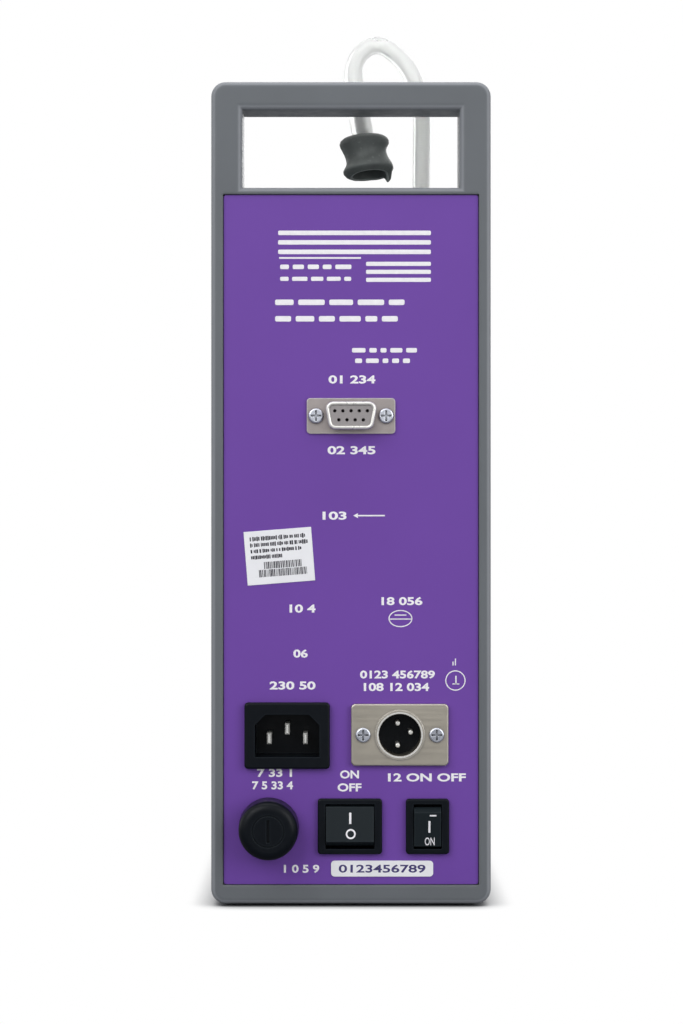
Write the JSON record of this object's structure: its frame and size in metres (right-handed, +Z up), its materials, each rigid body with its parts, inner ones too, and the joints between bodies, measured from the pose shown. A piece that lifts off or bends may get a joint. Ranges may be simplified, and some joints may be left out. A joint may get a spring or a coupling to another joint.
{
  "type": "milk analyzer",
  "caption": "Tall narrow bench analyzer with a carrying handle, a connector panel behind, a display, keys and sample bay in front, and a rinse hose with a rubber adaptor.",
  "frame": {"origin": "on the floor plane, under the middle of the box that holds the analyzer without its hose", "axes": "+Z up; +Y towards the display side; -Y towards the connector side; +X to the right when the connector side is looked at"},
  "size_m": [0.1, 0.2626, 0.3167],
  "materials": {
    "grey_plastic": "satin moulded",
    "grey_cover": "painted satin",
    "purple_panel": "satin",
    "bay_plastic": "satin",
    "black_plastic": "glossy moulded",
    "rocker_plastic": "satin moulded",
    "nickel": "satin nickel",
    "screw_steel": "zinc plated",
    "contact_metal": "nickel plated",
    "serial_plastic": "satin",
    "foot_rubber": "matt",
    "adaptor_rubber": "matt",
    "hose_silicone": "translucent",
    "line_silicone": "translucent",
    "white_vinyl": "satin",
    "window_clear": "clear",
    "lcd_face": "glossy",
    "board_green": "solder mask",
    "key_plastic": "satin",
    "stainless": "brushed",
    "cell_aluminium": "machined",
    "transducer_metal": "plain",
    "pump_plastic": "moulded",
    "motor_metal": "plated",
    "capacitor_sleeve": "sleeve",
    "core_steel": "varnished",
    "winding_tape": "taped winding"
  },
  "bodies": {
    "housing": {"base_plate": "grey_cover", "board_capacitors": "capacitor_sleeve", "cell_transducers": "transducer_metal", "cover_screws": "screw_steel", "dc_socket_flange": "nickel", "dc_socket_insert": "black_plastic", "dc_socket_pins": "contact_metal", "dc_switch_body": "black_plastic", "display_board": "board_green", "display_window": "window_clear", "feet": "foot_rubber", "front_frame": "grey_plastic", "front_panel": "purple_panel", "fuse_holder_body": "black_plastic", "fuse_nut": "black_plastic", "heat_sink": "cell_aluminium", "hose_adaptor": "adaptor_rubber", "hose_grommet": "foot_rubber", "inlet_line": "line_silicone", "inner_bracket": "stainless", "intake_pipe": "stainless", "label_sticker": "white_vinyl", "lcd_module": "lcd_face", "left_cover": "grey_cover", "main_board": "board_green", "mains_inlet_blades": "contact_metal", "mains_inlet_body": "black_plastic", "measuring_cell": "cell_aluminium", "milk_hose": "hose_silicone", "number_plate": "white_vinyl", "outlet_line": "line_silicone", "panel_screws": "screw_steel", "pipe_fitting": "stainless", "power_switch_body": "black_plastic", "pump_body": "pump_plastic", "pump_motor": "motor_metal", "pump_tube": "line_silicone", "rear_frame": "grey_plastic", "rear_panel": "purple_panel", "rear_terminals": "contact_metal", "right_cover": "grey_cover", "sample_bay": "bay_plastic", "serial_insert": "serial_plastic", "serial_screws": "screw_steel", "serial_shell": "nickel", "top_deck": "grey_cover", "transformer_coil": "winding_tape", "transformer_core": "core_steel"},
    "fuse_carrier": {"fuse_link": "contact_metal"},
    "fuse_cap": {"fuse_cap": "black_plastic"},
    "power_rocker": {"power_rocker": "rocker_plastic"},
    "dc_rocker": {"dc_rocker": "rocker_plastic"},
    "key_1": {"key_1": "key_plastic"},
    "key_2": {"key_2": "key_plastic"},
    "key_3": {"key_3": "key_plastic"},
    "key_4": {"key_4": "key_plastic"},
    "pump_rotor": {"pump_rotor": "pump_plastic"},
    "pump_roller_1": {"pump_roller_1": "pump_plastic"},
    "pump_roller_2": {"pump_roller_2": "pump_plastic"},
    "pump_roller_3": {"pump_roller_3": "pump_plastic"}
  },
  "joints": [
    {"name": "fuse_slide", "type": "slide", "parent": "housing", "child": "fuse_carrier", "axis": [0, -1, 0], "range_m": [0, 0.006]},
    {"name": "fuse_cap_spin", "type": "hinge", "parent": "fuse_carrier", "child": "fuse_cap", "pos_m": [-0.0293, -0.1243, 0.0284], "axis": [0, -1, 0], "range_deg": [0, 1440]},
    {"name": "power_rocker_tilt", "type": "hinge", "parent": "housing", "child": "power_rocker", "pos_m": [-0.0004, -0.1153, 0.0288], "axis": [1, 0, 0], "range_deg": [0, 18]},
    {"name": "dc_rocker_tilt", "type": "hinge", "parent": "housing", "child": "dc_rocker", "pos_m": [0.0273, -0.1153, 0.0288], "axis": [1, 0, 0], "range_deg": [-18, 0]},
    {"name": "key_1_press", "type": "slide", "parent": "housing", "child": "key_1", "axis": [0, -1, 0], "range_m": [0, 0.0008], "stiffness_N_per_m": 400, "springref_m": -0.0005},
    {"name": "key_2_press", "type": "slide", "parent": "housing", "child": "key_2", "axis": [0, -1, 0], "range_m": [0, 0.0008], "stiffness_N_per_m": 400, "springref_m": -0.0005},
    {"name": "key_3_press", "type": "slide", "parent": "housing", "child": "key_3", "axis": [0, -1, 0], "range_m": [0, 0.0008], "stiffness_N_per_m": 400, "springref_m": -0.0005},
    {"name": "key_4_press", "type": "slide", "parent": "housing", "child": "key_4", "axis": [0, -1, 0], "range_m": [0, 0.0008], "stiffness_N_per_m": 400, "springref_m": -0.0005},
    {"name": "pump_rotor_spin", "type": "hinge", "parent": "housing", "child": "pump_rotor", "pos_m": [0, 0.0766, 0.196], "axis": [0, 1, 0], "continuous": true},
    {"name": "pump_roller_1_spin", "type": "hinge", "parent": "pump_rotor", "child": "pump_roller_1", "pos_m": [0, 0.0766, 0.2078], "axis": [0, 1, 0], "continuous": true},
    {"name": "pump_roller_2_spin", "type": "hinge", "parent": "pump_rotor", "child": "pump_roller_2", "pos_m": [-0.01022, 0.0766, 0.1901], "axis": [0, 1, 0], "continuous": true},
    {"name": "pump_roller_3_spin", "type": "hinge", "parent": "pump_rotor", "child": "pump_roller_3", "pos_m": [0.01022, 0.0766, 0.1901], "axis": [0, 1, 0], "continuous": true}
  ],
  "couplings": [
    {"joint": "fuse_slide", "follows": "fuse_cap_spin", "m_per_rad": 0.00023873},
    {"joint": "pump_roller_1_spin", "follows": "pump_rotor_spin", "ratio": -3.6222},
    {"joint": "pump_roller_2_spin", "follows": "pump_rotor_spin", "ratio": -3.6222},
    {"joint": "pump_roller_3_spin", "follows": "pump_rotor_spin", "ratio": -3.6222}
  ]
}
